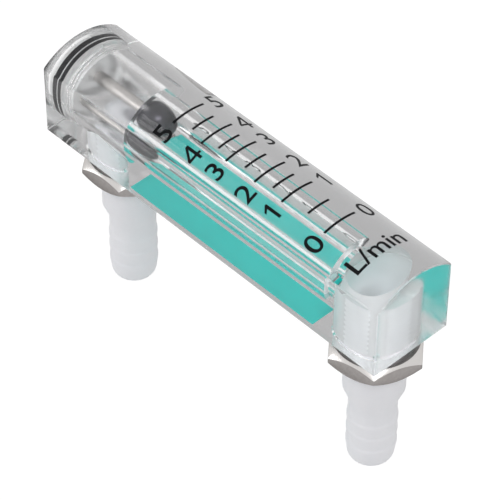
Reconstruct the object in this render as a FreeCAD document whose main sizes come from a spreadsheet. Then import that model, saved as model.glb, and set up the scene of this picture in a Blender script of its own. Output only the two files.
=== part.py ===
import FreeCAD, Part
import math
import os
from types import SimpleNamespace

import Sketcher
from FreeCAD import Placement, Rotation, Vector

# Clear block flowmeter for oxygen, lying on its back with the scale face up, in millimetres.
# The origin is on the flat back face, midway between the axes of the two ports.
# +X runs along the measuring bore towards the zero end, +Y across the block
# and +Z out of the scale face.

# Driving dimensions. Heights are above the back face, and what hangs below it is
# given as a depth. Distances of the plug's features are from the plug end of the block.
SIZES = {
    # clear block
    "port_spacing": 69.0,
    "inlet_margin": 8.75,
    "outlet_margin": 14.25,
    "block_width": 19.2,
    "side_height": 16.3,
    "front_rise": 3.5,
    "edge_break": 0.25,
    # bores along the block
    "bore_height": 9.9,
    "seal_bore_radius": 6.9,
    "seal_bore_length": 4.2,
    "chamber_radius": 6.2,
    "chamber_length": 22.05,
    "tube_top_radius": 4.35,
    "tube_seat_radius": 4.1,
    "seat_web": 1.5,
    "seat_dish": 0.5,
    "seat_hole_radius": 2.6,
    # tapped ports in the back
    "port_radius": 5.5,
    "inlet_port_depth": 12.5,
    "outlet_port_depth": 9.9,
    "inlet_drill_point": 3.3,
    "outlet_drill_point": 0.4,
    "mouth_break": 0.5,
    # end plug
    "plug_recess": 0.3,
    "plug_length": 6.1,
    "plug_clearance": 0.05,
    "key_flats": 5.0,
    "key_depth": 2.2,
    # seals of the plug
    "ring_section": 1.0,
    "ring_clearance": 0.01,
    "first_ring": 1.85,
    "ring_pitch": 1.35,
    "groove_width": 1.05,
    # stop pin
    "pin_radius": 1.5,
    "pin_clearance": 0.01,
    "pin_socket": 2.4,
    "pin_tip_break": 0.3,
    # float
    "float_radius": 4.0,
    "float_lead": 1.3,
    "float_gap": 0.1,
    # hose fittings
    "gas_bore_radius": 2.5,
    "shank_to_way": 0.25,
    "shank_clearance": 0.05,
    "shank_radius": 6.1,
    "shank_depth": 15.4,
    "neck_depth": 18.8,
    "neck_radius": 4.8,
    "crest_radius": 5.0,
    "crest_land": 0.7,
    "crest_pitch": 3.5,
    "last_crest_to_tip": 4.9,
    "fitting_depth": 35.5,
    "tip_radius": 4.7,
    "tip_round": 1.9,
    # lock nuts
    "nut_flats": 17.6,
    "nut_thickness": 4.25,
    "panel_gap": 2.65,
    "nut_clearance": 0.1,
    "nut_face_radius": 8.6,
    "nut_cone_slope": 0.85,
    "nut_bore_break": 0.4,
    "inlet_nut_turn": 12.0,
    "outlet_nut_turn": 5.0,
    # printed field on the back
    "print_thickness": 0.08,
    "print_half_width": 6.8,
    "print_to_plug": 24.9,
    "print_to_inlet": 25.9,
    # scale strokes on the front, measured from the zero stroke
    "stroke_thickness": 0.06,
    "stroke_width": 0.5,
    "long_stroke": 7.9,
    "short_stroke": 5.4,
    "zero_stroke": 23.8,
    "stroke_half": 5.5,
    "stroke_one": 11.2,
    "stroke_one_half": 14.8,
    "stroke_two": 18.5,
    "stroke_two_half": 22.3,
    "stroke_three": 26.3,
    "stroke_three_half": 29.6,
    "stroke_four": 33.0,
    "stroke_four_half": 36.8,
    "stroke_five": 40.9,
}

CRESTS = 3
RINGS = 2
HEX_SIDES = 6
OVERRUN = 1.0
TOLERANCE = 0.01
NO_CHANGE = 1e-6


class Size:
    """A number together with the formula that gives it from the sheet."""

    def __init__(self, text, number):
        self.text = text
        self.number = number

    def __add__(self, other):
        other = size_of(other)
        return Size(f"({self.text} + {other.text})", self.number + other.number)

    def __sub__(self, other):
        other = size_of(other)
        return Size(f"({self.text} - {other.text})", self.number - other.number)

    def __mul__(self, other):
        other = size_of(other)
        return Size(f"({self.text} * {other.text})", self.number * other.number)

    def __truediv__(self, other):
        other = size_of(other)
        return Size(f"({self.text} / {other.text})", self.number / other.number)

    def __neg__(self):
        return Size(f"(0 - {self.text})", -self.number)


def size_of(thing):
    """Take a plain number as a size."""
    return thing if isinstance(thing, Size) else Size(repr(float(thing)), float(thing))


def cosine(degrees):
    """Cosine of a size given in degrees."""
    degrees = size_of(degrees)
    return Size(f"cos({degrees.text} * 1 deg)", math.cos(math.radians(degrees.number)))


def sine(degrees):
    """Sine of a size given in degrees."""
    degrees = size_of(degrees)
    return Size(f"sin({degrees.text} * 1 deg)", math.sin(math.radians(degrees.number)))


def fill_sheet():
    """Write each size once into a cell with its name as the alias."""
    cells = doc.addObject("Spreadsheet::Sheet", "Sizes")
    for row, (alias, number) in enumerate(SIZES.items(), start=1):
        cells.set(f"A{row}", alias)
        cells.set(f"B{row}", str(number))
        cells.setAlias(f"B{row}", alias)
    doc.recompute()
    return SimpleNamespace(
        **{alias: Size(f"Sizes.{alias}", float(getattr(cells, alias))) for alias in SIZES})


def drive(item, prop, size):
    """Bind a property of an object to a size."""
    item.setExpression(prop, size_of(size).text)


def new_body(name):
    """Start a sub-part that is made by features."""
    body = doc.addObject("PartDesign::Body", name)
    body.Label = name
    return body


def new_sketch(body, role, name, along=0, up=0, out=0):
    """Attach a sketch to an origin plane of the body, moved along, up and out of that plane."""
    sketch = body.newObject("Sketcher::SketchObject", f"{body.Name}_{name}")
    plane = next(item for item in body.Origin.OriginFeatures if item.Role == role)
    sketch.AttachmentSupport = [(plane, "")]
    sketch.MapMode = "FlatFace"
    drive(sketch, "AttachmentOffset.Base.x", along)
    drive(sketch, "AttachmentOffset.Base.y", up)
    drive(sketch, "AttachmentOffset.Base.z", out)
    return sketch


def pin_down(sketch, geometry, vertex, across, up):
    """Bind one vertex of a sketch to its two distances from the sketch's origin."""
    for kind, size in (("DistanceX", across), ("DistanceY", up)):
        index = sketch.addConstraint(
            Sketcher.Constraint(kind, -1, 1, geometry, vertex, size_of(size).number))
        sketch.setExpression(f"Constraints[{index}]", size_of(size).text)


def draw_outline(sketch, points):
    """Draw a closed outline of straight lines through pairs of sizes."""
    rough = [Vector(size_of(a).number, size_of(b).number, 0) for a, b in points]
    count = len(rough)
    for i in range(count):
        sketch.addGeometry(Part.LineSegment(rough[i], rough[(i + 1) % count]), False)
    for i in range(count):
        sketch.addConstraint(
            Sketcher.Constraint("Coincident", i, 2, (i + 1) % count, 1))
    for i, (a, b) in enumerate(points):
        pin_down(sketch, i, 1, a, b)
    doc.recompute()


def draw_circle(sketch, radius):
    """Draw a circle about the sketch's origin."""
    radius = size_of(radius)
    sketch.addGeometry(Part.Circle(Vector(0, 0, 0), Vector(0, 0, 1), radius.number), False)
    sketch.addConstraint(Sketcher.Constraint("Coincident", 0, 3, -1, 1))
    index = sketch.addConstraint(Sketcher.Constraint("Radius", 0, radius.number))
    sketch.setExpression(f"Constraints[{index}]", radius.text)
    doc.recompute()


def hexagon(flats, turn):
    """Corners of a hexagon given by its width across flats and its turn in degrees."""
    reach = size_of(flats) / math.sqrt(3.0)
    step = 360.0 / HEX_SIDES
    return [(reach * cosine(size_of(turn) + step * i), reach * sine(size_of(turn) + step * i))
            for i in range(HEX_SIDES)]


def revolve(body, sketch, axis, cut=False):
    """Turn a sketch right round one of its own axes, as solid or as a cut."""
    kind = "PartDesign::Groove" if cut else "PartDesign::Revolution"
    feature = body.newObject(kind, f"{sketch.Name}_turned")
    feature.Profile = sketch
    feature.ReferenceAxis = (sketch, [axis])
    feature.Angle = 360.0
    settle(body, feature)
    return feature


def extrude(body, sketch, length, cut=False, backwards=False):
    """Push a sketch through a length, as solid or as a cut."""
    kind = "PartDesign::Pocket" if cut else "PartDesign::Pad"
    feature = body.newObject(kind, f"{sketch.Name}_pushed")
    feature.Profile = sketch
    feature.Reversed = backwards
    drive(feature, "Length", length)
    settle(body, feature)
    return feature


def settle(body, feature):
    """Make a feature the body's tip, and check that it changed the solid."""
    before = body.Shape.Volume if not body.Shape.isNull() else 0.0
    body.Tip = feature
    doc.recompute()
    if abs(body.Shape.Volume - before) < NO_CHANGE:
        raise RuntimeError(f"{feature.Name} changes nothing")


def break_edges(body, feature, edges, amount):
    """Take a small even chamfer off the named edges."""
    chamfer = body.newObject("PartDesign::Chamfer", f"{feature.Name}_broken")
    chamfer.Base = (feature, edges)
    drive(chamfer, "Size", amount)
    settle(body, chamfer)
    return chamfer


def round_edges(body, feature, edges, amount):
    """Round the named edges."""
    fillet = body.newObject("PartDesign::Fillet", f"{feature.Name}_rounded")
    fillet.Base = (feature, edges)
    drive(fillet, "Radius", amount)
    settle(body, fillet)
    return fillet


def edges_where(shape, test):
    """Name the edges of a shape that pass a test."""
    return [f"Edge{i}" for i, edge in enumerate(shape.Edges, start=1) if test(edge)]


def place(item, x=0, y=0, z=0, turn=None):
    """Put an object at three sizes, turned if a rotation is given."""
    if turn is not None:
        item.Placement = Placement(Vector(0, 0, 0), turn)
    for axis, size in (("x", x), ("y", y), ("z", z)):
        drive(item, f"Placement.Base.{axis}", size)


ALONG_X = Rotation(Vector(0, 1, 0), 90.0)

doc = FreeCAD.newDocument("flowmeter")
s = fill_sheet()

# Places that several pieces share
inlet_x = s.port_spacing / 2
outlet_x = -(s.port_spacing / 2)
zero_end = inlet_x + s.inlet_margin
plug_end = outlet_x - s.outlet_margin
block_length = s.port_spacing + s.inlet_margin + s.outlet_margin
tube_top = plug_end + s.chamber_length
seat_x = inlet_x - s.port_radius - s.seat_web
plug_face = plug_end + s.plug_recess
plug_inner = plug_end + s.plug_length
float_x = tube_top + s.float_lead
front_radius = ((s.block_width * s.block_width / 4 + s.front_rise * s.front_rise)
                / (s.front_rise * 2))
front_centre = s.side_height + s.front_rise - front_radius


def make_block():
    """Clear block: a slab with a crowned front, bored from one end and tapped from the back."""
    body = new_body("clear_block")
    section = new_sketch(body, "YZ_Plane", "section", out=plug_end)
    half = s.block_width / 2
    corners = [(-half, s.side_height), (-half, 0), (half, 0), (half, s.side_height)]
    rough = [Vector(size_of(a).number, size_of(b).number, 0) for a, b in corners]
    for i in range(3):
        section.addGeometry(Part.LineSegment(rough[i], rough[i + 1]), False)
    crown = Vector(0, s.side_height.number + s.front_rise.number, 0)
    section.addGeometry(Part.Arc(rough[3], crown, rough[0]), False)
    for i in range(3):
        section.addConstraint(Sketcher.Constraint("Coincident", i, 2, i + 1, 1))
    section.addConstraint(Sketcher.Constraint("Coincident", 3, 2, 0, 1))
    for i, (a, b) in enumerate(corners[:3]):
        pin_down(section, i, 1, a, b)
    pin_down(section, 2, 2, *corners[3])
    index = section.addConstraint(Sketcher.Constraint("Radius", 3, front_radius.number))
    section.setExpression(f"Constraints[{index}]", front_radius.text)
    doc.recompute()
    slab = extrude(body, section, block_length)
    broken = break_edges(body, slab, edges_where(slab.Shape, lambda edge: True), s.edge_break)
    assert broken.Shape.isValid()

    # stepped and tapered bore, from the seal bore at the plug end to the float's seat
    bore = new_sketch(body, "XZ_Plane", "bore", up=s.bore_height)
    draw_outline(bore, [
        (plug_end - OVERRUN, 0),
        (plug_end - OVERRUN, s.seal_bore_radius),
        (plug_end + s.seal_bore_length, s.seal_bore_radius),
        (plug_end + s.seal_bore_length + s.mouth_break, s.chamber_radius),
        (tube_top, s.chamber_radius),
        (tube_top, s.tube_top_radius),
        (seat_x, s.tube_seat_radius),
        (seat_x + s.seat_dish, s.seat_hole_radius),
        (inlet_x, s.seat_hole_radius),
        (inlet_x, 0),
    ])
    revolve(body, bore, "H_Axis", cut=True)

    # tapped ports, the inlet blind with its drill point and the outlet open to the chamber
    for name, x, depth, point in (
            ("inlet", inlet_x, s.inlet_port_depth, s.inlet_drill_point),
            ("outlet", outlet_x, s.outlet_port_depth, s.outlet_drill_point)):
        port = new_sketch(body, "XZ_Plane", f"{name}_port", along=x)
        draw_outline(port, [
            (0, -OVERRUN),
            (s.port_radius + s.mouth_break, -OVERRUN),
            (s.port_radius + s.mouth_break, 0),
            (s.port_radius, s.mouth_break),
            (s.port_radius, depth),
            (0, depth + point),
        ])
        revolve(body, port, "V_Axis", cut=True)
    return body


def make_plug():
    """End plug: a head with two seal grooves, a threaded shank and a hexagon key socket."""
    body = new_body("end_plug")
    head = s.seal_bore_radius - s.plug_clearance
    shank = s.chamber_radius - s.plug_clearance
    groove = s.seal_bore_radius - s.ring_section
    turned = new_sketch(body, "XZ_Plane", "profile", up=s.bore_height)
    points = [(plug_face, 0), (plug_face, head)]
    for i in range(RINGS):
        centre = plug_end + s.first_ring + s.ring_pitch * i
        points += [(centre - s.groove_width / 2, head), (centre - s.groove_width / 2, groove),
                   (centre + s.groove_width / 2, groove), (centre + s.groove_width / 2, head)]
    step = plug_end + s.seal_bore_length - s.plug_clearance
    points += [(step, head), (step, shank), (plug_inner - s.mouth_break, shank),
               (plug_inner, shank - s.mouth_break), (plug_inner, 0)]
    draw_outline(turned, points)
    revolve(body, turned, "H_Axis")

    key = new_sketch(body, "YZ_Plane", "key", up=s.bore_height, out=plug_face)
    draw_outline(key, hexagon(s.key_flats, 0))
    extrude(body, key, s.key_depth, cut=True, backwards=True)

    socket = new_sketch(body, "YZ_Plane", "pin_socket", up=s.bore_height, out=plug_inner)
    draw_circle(socket, s.pin_radius + s.pin_clearance)
    extrude(body, socket, s.pin_socket, cut=True)
    return body


def make_plug_ring(name, order):
    """Seal ring, held in its groove of the plug against the seal bore."""
    ring = doc.addObject("Part::Torus", name)
    ring.Label = name
    drive(ring, "Radius1", s.seal_bore_radius - s.ring_section / 2)
    drive(ring, "Radius2", s.ring_section / 2 - s.ring_clearance)
    place(ring, plug_end + s.first_ring + s.ring_pitch * order, 0, s.bore_height, ALONG_X)
    return ring


def make_stop_pin():
    """Steel pin, pressed into the plug, that stops the float at the top of its travel."""
    body = new_body("stop_pin")
    root = plug_inner - s.pin_socket
    tip = float_x - s.float_radius - s.float_gap
    turned = new_sketch(body, "XZ_Plane", "profile", up=s.bore_height)
    draw_outline(turned, [
        (root, 0), (root, s.pin_radius), (tip - s.pin_tip_break, s.pin_radius),
        (tip, s.pin_radius - s.pin_tip_break), (tip, 0)])
    revolve(body, turned, "H_Axis")
    return body


def make_float():
    """Ball float, at the top of the tapered bore and just clear of the stop pin."""
    ball = doc.addObject("Part::Sphere", "float_ball")
    ball.Label = "float_ball"
    drive(ball, "Radius", s.float_radius)
    place(ball, float_x, 0, s.bore_height, ALONG_X)
    return ball


def make_fitting(name, x, way_radius):
    """Hose fitting: a threaded shank up to the gas way in the block, a cone and a barbed spigot."""
    body = new_body(name)
    core = s.port_radius - s.shank_clearance
    insert = s.bore_height - way_radius - s.shank_to_way
    root_step = s.crest_radius - s.neck_radius
    turned = new_sketch(body, "XZ_Plane", "profile", along=x)
    points = [
        (s.gas_bore_radius, insert),
        (core - s.mouth_break, insert),
        (core, insert - s.mouth_break),
        (core, -s.shank_clearance),
        (s.shank_radius, -s.shank_clearance),
        (s.shank_radius, -s.shank_depth),
        (s.neck_radius, -s.neck_depth),
    ]
    for i in reversed(range(CRESTS)):
        crest = s.fitting_depth - s.last_crest_to_tip - s.crest_pitch * i
        points += [(s.neck_radius, root_step - crest), (s.crest_radius, -crest),
                   (s.crest_radius, -(crest + s.crest_land))]
    points += [(s.tip_radius, -s.fitting_depth), (s.gas_bore_radius, -s.fitting_depth)]
    draw_outline(turned, points)
    solid = revolve(body, turned, "V_Axis")
    rim = edges_where(
        solid.Shape,
        lambda edge: edge.BoundBox.ZMax < TOLERANCE - s.fitting_depth.number
        and abs(edge.BoundBox.XLength - 2 * s.tip_radius.number) < TOLERANCE)
    round_edges(body, solid, rim, s.tip_round)
    return body


def make_nut(name, x, turn):
    """Lock nut on the shank of a fitting, run back by the thickness of a panel."""
    body = new_body(name)
    top = -s.panel_gap
    bottom = -(s.panel_gap + s.nut_thickness)
    blank = new_sketch(body, "XY_Plane", "blank", along=x, out=bottom)
    draw_outline(blank, hexagon(s.nut_flats, turn))
    extrude(body, blank, s.nut_thickness)
    reach = s.nut_flats / math.sqrt(3.0) + OVERRUN
    drop = (reach - s.nut_face_radius) * s.nut_cone_slope
    for side, face, inward in (("top", top, -drop), ("bottom", bottom, drop)):
        cone = new_sketch(body, "XZ_Plane", f"{side}_cone", along=x)
        draw_outline(cone, [(s.nut_face_radius, face), (reach, face), (reach, face + inward)])
        revolve(body, cone, "V_Axis", cut=True)
    bore = s.shank_radius + s.nut_clearance
    hole = new_sketch(body, "XZ_Plane", "hole", along=x)
    draw_outline(hole, [
        (0, bottom - OVERRUN),
        (bore + s.nut_bore_break + OVERRUN, bottom - OVERRUN),
        (bore, bottom + s.nut_bore_break),
        (bore, top - s.nut_bore_break),
        (bore + s.nut_bore_break + OVERRUN, top + OVERRUN),
        (0, top + OVERRUN),
    ])
    revolve(body, hole, "V_Axis", cut=True)
    return body


def make_back_print():
    """Field of colour printed on the back face behind the tube."""
    film = doc.addObject("Part::Box", "back_print")
    film.Label = "back_print"
    drive(film, "Length", s.print_to_plug + s.print_to_inlet)
    drive(film, "Width", s.print_half_width * 2)
    drive(film, "Height", s.print_thickness)
    place(film, -s.print_to_plug, -s.print_half_width, -s.print_thickness)
    return film


def make_strokes():
    """Scale strokes printed on the crowned front, long at whole litres and short between."""
    marks = [size_of(0), s.stroke_half, s.stroke_one, s.stroke_one_half, s.stroke_two,
             s.stroke_two_half, s.stroke_three, s.stroke_three_half, s.stroke_four,
             s.stroke_four_half, s.stroke_five]
    bars = []
    for i, mark in enumerate(marks):
        across = s.long_stroke if i % 2 == 0 else s.short_stroke
        bar = doc.addObject("Part::Box", f"stroke_bar_{i}")
        drive(bar, "Length", s.stroke_width)
        drive(bar, "Width", across)
        drive(bar, "Height", s.front_rise + OVERRUN)
        place(bar, s.zero_stroke - mark - s.stroke_width / 2, -across / 2, s.side_height)
        bars.append(bar)
    skins = []
    for part_name, extra in (("stroke_skin_out", s.stroke_thickness), ("stroke_skin_in", 0)):
        skin = doc.addObject("Part::Cylinder", part_name)
        drive(skin, "Radius", front_radius + extra)
        drive(skin, "Height", block_length)
        place(skin, plug_end, 0, front_centre, ALONG_X)
        skins.append(skin)
    film = doc.addObject("Part::Cut", "stroke_film")
    film.Base, film.Tool = skins
    all_bars = doc.addObject("Part::Compound", "stroke_bars")
    all_bars.Links = bars
    strokes = doc.addObject("Part::Common", "scale_strokes")
    strokes.Label = "scale_strokes"
    strokes.Base = film
    strokes.Tool = all_bars
    return strokes


PIECES = [
    make_block(),
    make_plug(),
    make_plug_ring("plug_ring_outer", 0),
    make_plug_ring("plug_ring_inner", 1),
    make_stop_pin(),
    make_float(),
    make_fitting("inlet_fitting", inlet_x, s.seat_hole_radius),
    make_fitting("outlet_fitting", outlet_x, s.chamber_radius),
    make_nut("inlet_lock_nut", inlet_x, s.inlet_nut_turn),
    make_nut("outlet_lock_nut", outlet_x, s.outlet_nut_turn),
    make_back_print(),
    make_strokes(),
]

doc.recompute()
for item in doc.Objects:
    if "Invalid" in item.State or "Error" in item.State:
        raise RuntimeError(f"{item.Name} failed: {item.State}")
for piece in PIECES:
    if piece.Shape.isNull() or not piece.Shape.isValid():
        raise RuntimeError(f"{piece.Label} has no valid shape")

os.makedirs("parts", exist_ok=True)
for piece in PIECES:
    piece.Shape.exportStep(f"parts/{piece.Label}.step")
    box = piece.Shape.BoundBox
    print(f"{piece.Label}: {len(piece.Shape.Solids)} solid, {piece.Shape.Volume:.1f} mm3,"
          f" x {box.XMin:.2f} {box.XMax:.2f} y {box.YMin:.2f} {box.YMax:.2f}"
          f" z {box.ZMin:.2f} {box.ZMax:.2f}")
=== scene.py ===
"""Clear block flowmeter for oxygen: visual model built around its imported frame.

Sizes in the classes are millimetres in the part's own frame: the origin lies on the flat
back of the block, X runs towards the zero end, Y across the block and Z out of the scale.
"""

from __future__ import annotations

import logging
import math
from dataclasses import dataclass, field
from enum import Enum
from typing import Iterable, Mapping, Optional, Sequence, Union

import bmesh
import bpy
from mathutils import Matrix, Vector

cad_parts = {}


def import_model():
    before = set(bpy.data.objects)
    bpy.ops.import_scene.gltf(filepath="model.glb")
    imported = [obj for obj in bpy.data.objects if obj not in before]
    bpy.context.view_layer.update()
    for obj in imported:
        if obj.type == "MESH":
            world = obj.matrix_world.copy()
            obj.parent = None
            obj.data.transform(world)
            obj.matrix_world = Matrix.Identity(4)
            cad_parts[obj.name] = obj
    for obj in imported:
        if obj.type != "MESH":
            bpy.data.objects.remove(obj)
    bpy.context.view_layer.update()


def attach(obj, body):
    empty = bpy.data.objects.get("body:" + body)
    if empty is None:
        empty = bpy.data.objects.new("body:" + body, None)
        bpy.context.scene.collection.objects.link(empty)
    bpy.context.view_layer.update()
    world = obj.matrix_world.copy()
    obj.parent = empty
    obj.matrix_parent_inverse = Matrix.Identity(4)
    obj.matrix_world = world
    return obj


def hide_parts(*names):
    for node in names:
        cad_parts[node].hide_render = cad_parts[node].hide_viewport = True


LOG = logging.getLogger("flowmeter")

MM = 0.001
WELD = 1e-7
ROUND_STEPS = 144
OVERRUN = 1.0  # how far a cutting shape stands out of what it cuts

# Angles in degrees above which an edge stays sharp
CUT_CREASE = 18.0
MACHINED_CREASE = 25.0
PRINT_CREASE = 30.0
ROUND_CREASE = 60.0
THREAD_CREASE = 70.0

Pair = tuple[float, float]
Triple = tuple[float, float, float]
Colour = tuple[float, float, float]
Feeds = Mapping[Union[int, str], object]
Piece = bpy.types.Object
Material = bpy.types.Material
Tree = bpy.types.NodeTree
Socket = bpy.types.NodeSocket


class Slot(Enum):
    """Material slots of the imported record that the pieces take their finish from."""

    ACRYLIC = "clear_acrylic"
    PLUG = "plug_plastic"
    SEAL = "seal_rubber"
    PIN = "pin_steel"
    FLOAT = "float_steel"
    FITTING = "fitting_plastic"
    NUT = "nut_nickel"
    BACK_INK = "back_ink"
    SCALE_INK = "scale_ink"


class Body(Enum):
    """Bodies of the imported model."""

    BLOCK = "block"
    FLOAT = "float"
    INLET_NUT = "inlet_nut"
    OUTLET_NUT = "outlet_nut"


class Axis(Enum):
    """Direction that a profile is spun about or a section is drawn along."""

    ALONG = "x"
    UPRIGHT = "z"


# Nodes


class NodeSheet:
    """A small hand for placing and joining nodes in one node tree."""

    def __init__(self, tree: Tree) -> None:
        """Start on the emptied tree of a material, a world or a group."""
        self.tree = tree
        tree.nodes.clear()

    def feed(self, target: Socket, value: object) -> None:
        """Join an output to an input, or write a value into it.

        Args:
            target: input of a node.
            value: output of another node, or a plain value, a colour as three numbers.
        """
        if isinstance(value, Socket):
            self.tree.links.new(value, target)
        elif target.type == "RGBA":
            target.default_value = (*value, 1.0)
        else:
            target.default_value = value

    def node(self, kind: str, feeds: Optional[Feeds] = None, **settings: object) -> bpy.types.Node:
        """Place a node.

        Args:
            kind: name of the node's type.
            feeds: what goes into its inputs, by their name or number.
            settings: properties of the node, such as operation.

        Returns:
            The new node.
        """
        made = self.tree.nodes.new(kind)
        for name, value in settings.items():
            setattr(made, name, value)
        for name, value in (feeds or {}).items():
            self.feed(made.inputs[name], value)
        return made

    def sums(self, operation: str, *values: object, clamp: bool = False) -> Socket:
        """Place a Math node fed with numbers or sockets and give its output."""
        return self.node("ShaderNodeMath", dict(enumerate(values)), operation=operation,
                         use_clamp=clamp).outputs[0]

    def blend(self, share: object, low: object, high: object) -> Socket:
        """Mix two colours by a share from 0 to 1, in a Mix node's sockets for colours."""
        return self.node("ShaderNodeMix", {0: share, 6: low, 7: high}, data_type="RGBA").outputs[2]

    def spread(self, value: object, low: object, high: object) -> Socket:
        """Stretch a value from 0..1 to low..high, in a Map Range node's sockets for numbers."""
        return self.node("ShaderNodeMapRange", {0: value, 3: low, 4: high}).outputs[0]

    def noise(self, place: object, scale: object, detail: float) -> Socket:
        """Place a Noise Texture and give its value output."""
        return self.node("ShaderNodeTexNoise", {"Vector": place, "Scale": scale,
                                                "Detail": detail}).outputs[0]

    def seen(self) -> Socket:
        """Mask the rays that look at the studio: straight, mirrored or through glass.

        Returns:
            1 for those rays and 0 for the light that falls on the object.
        """
        path = self.node("ShaderNodeLightPath").outputs
        bent = self.sums("MAXIMUM", path["Is Glossy Ray"], path["Is Transmission Ray"])
        return self.sums("MAXIMUM", path["Is Camera Ray"], bent)


@dataclass(frozen=True)
class TreeSocket:
    """A named socket of a node group, with the value that it starts from."""

    name: str
    kind: str = "NodeSocketFloat"
    value: Optional[float] = None


class GroupSheet(NodeSheet):
    """Sheet of a new node group."""

    def __init__(self, name: str, kind: str, ins: Sequence[TreeSocket],
                 outs: Sequence[TreeSocket]) -> None:
        """Open the group with its sockets.

        Args:
            name: name of the group.
            kind: type of its tree.
            ins: its inputs.
            outs: its outputs.
        """
        super().__init__(bpy.data.node_groups.new(name, kind))
        for way, sockets in (("INPUT", ins), ("OUTPUT", outs)):
            for one in sockets:
                made = self.tree.interface.new_socket(one.name, in_out=way, socket_type=one.kind)
                if one.value is not None:
                    made.default_value = one.value
        self.given = self.node("NodeGroupInput").outputs
        self.out = self.node("NodeGroupOutput").inputs

    def give(self, **values: Socket) -> Tree:
        """Join the results to the outputs.

        Args:
            values: result for each named output.

        Returns:
            The finished tree.
        """
        for name, value in values.items():
            self.feed(self.out[name], value)
        return self.tree


class ShaderGroups:
    """Effects that several finishes share, each built once as a node group."""

    FINE_SHARE = 0.35  # share of the fine grain in the mottling
    SMEAR_FLOOR = 0.5  # cloud value above which the surface is smeared
    HAIR_FLOOR = 0.72  # value of the drawn noise above which a scratch shows
    HAIR_STRETCH = (0.12, 1.0, 1.0)

    def __init__(self) -> None:
        """Build the groups."""
        self.moulded = self._moulded_skin()
        self.handled = self._handling_marks()
        self.machined = self._machining_marks()

    @staticmethod
    def _start(name: str, ins: Mapping[str, float], *outs: str) -> GroupSheet:
        """Open a group that works from a place on the object.

        Args:
            name: name of the group.
            ins: its other inputs, with the values they start from.
            outs: names of its outputs, which are plain numbers.

        Returns:
            Its sheet.
        """
        given = [TreeSocket(one, value=value) for one, value in ins.items()]
        return GroupSheet(name, "ShaderNodeTree",
                          [TreeSocket("Place", "NodeSocketVector"), *given],
                          [TreeSocket(one) for one in outs])

    def _moulded_skin(self) -> Tree:
        """Soft mottling of a moulded plastic or rubber.

        Returns:
            Group with a colour mask, a roughness and a height.
        """
        sheet = self._start("moulded_skin", {"Grain": 2200.0, "Smooth": 0.3, "Rough": 0.5},
                            "Mask", "Roughness", "Height")
        given = sheet.given
        cloud = sheet.noise(given["Place"], scale=160.0, detail=2.0)
        fine = sheet.noise(given["Place"], scale=given["Grain"], detail=3.0)
        share = self.FINE_SHARE
        both = sheet.sums("MULTIPLY_ADD", fine, share, sheet.sums("MULTIPLY", cloud, 1 - share))
        return sheet.give(Mask=both, Height=fine,
                          Roughness=sheet.spread(both, given["Smooth"], given["Rough"]))

    def _handling_marks(self) -> Tree:
        """Faint smears and hairline scratches of a part that was handled.

        Returns:
            Group with a smear mask and a scratch mask.
        """
        sheet = self._start("handling_marks", {"Amount": 0.5}, "Smear", "Scratch")
        given = sheet.given
        broad = sheet.noise(given["Place"], scale=90.0, detail=4.0)
        smear = sheet.sums("SUBTRACT", broad, self.SMEAR_FLOOR, clamp=True)
        drawn = sheet.node("ShaderNodeVectorMath", {0: given["Place"], 1: self.HAIR_STRETCH},
                           operation="MULTIPLY")
        lines = sheet.noise(drawn.outputs[0], scale=2600.0, detail=1.0)
        hair = sheet.sums("GREATER_THAN", lines, self.HAIR_FLOOR)
        return sheet.give(Smear=sheet.sums("MULTIPLY", smear, given["Amount"]),
                          Scratch=sheet.sums("MULTIPLY", hair, given["Amount"]))

    def _machining_marks(self) -> Tree:
        """Fine rings that a lathe leaves about an upright axis through the origin.

        Returns:
            Group with a height and a mask.
        """
        sheet = self._start("machining_marks", {"Pitch": 0.00018}, "Height", "Mask")
        given = sheet.given
        x, y, z = sheet.node("ShaderNodeSeparateXYZ", {0: given["Place"]}).outputs
        radius = sheet.sums("SQRT", sheet.sums("ADD", sheet.sums("MULTIPLY", x, x),
                                               sheet.sums("MULTIPLY", y, y)))
        turns = sheet.sums("DIVIDE", sheet.sums("ADD", radius, z), given["Pitch"])
        wave = sheet.sums("SINE", sheet.sums("MULTIPLY", turns, 2 * math.pi))
        blur = sheet.noise(given["Place"], scale=1400.0, detail=3.0)
        return sheet.give(Height=sheet.sums("MULTIPLY", wave, blur), Mask=blur)


# Finishes


@dataclass(frozen=True)
class AcrylicLook:
    """Look of one kind of face on the clear block: its tint, what it passes and its haze."""

    name: str
    tone: Colour
    passes: Colour
    clear: float = 1.0
    smooth: float = 0.0
    rough: float = 0.02
    grain: float = 900.0
    gleam: float = 0.35


class Face(Enum):
    """Finishes of the block's faces, in the order of its material list."""

    POLISHED = AcrylicLook("clear_acrylic", (0.84, 0.84, 0.845), (0.95, 0.95, 0.95))
    # Painted shade: the back and the far side take a dark tint, so that what shows through them
    # looks grey.
    SHADE_TINTED = AcrylicLook("shade_tinted_acrylic", (0.20, 0.198, 0.20), (0.86, 0.87, 0.87))
    BORED = AcrylicLook("bored_acrylic", (1.0, 1.0, 1.0), (1.0, 1.0, 1.0), clear=0.97,
                        smooth=0.05, rough=0.12, gleam=0.7)
    REAMED = AcrylicLook("reamed_acrylic", (1.0, 1.0, 1.0), (0.95, 0.95, 0.95),
                         smooth=0.18, rough=0.30)
    DRILLED = AcrylicLook("drilled_acrylic", (0.75, 0.82, 0.82), (0.95, 0.95, 0.95),
                          clear=0.72, smooth=0.46, rough=0.60)
    TAPPED = AcrylicLook("tapped_acrylic", (0.91, 0.945, 0.96), (0.9, 0.9, 0.9),
                         clear=0.28, smooth=0.55, rough=0.75)
    CHASED = AcrylicLook("chased_acrylic", (0.96, 0.96, 0.96), (0.93, 0.93, 0.93),
                         clear=0.62, smooth=0.2, rough=0.42, grain=1600.0)
    SAWN = AcrylicLook("sawn_acrylic", (0.84, 0.84, 0.845), (0.95, 0.95, 0.95),
                       smooth=0.20, rough=0.30)


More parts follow.
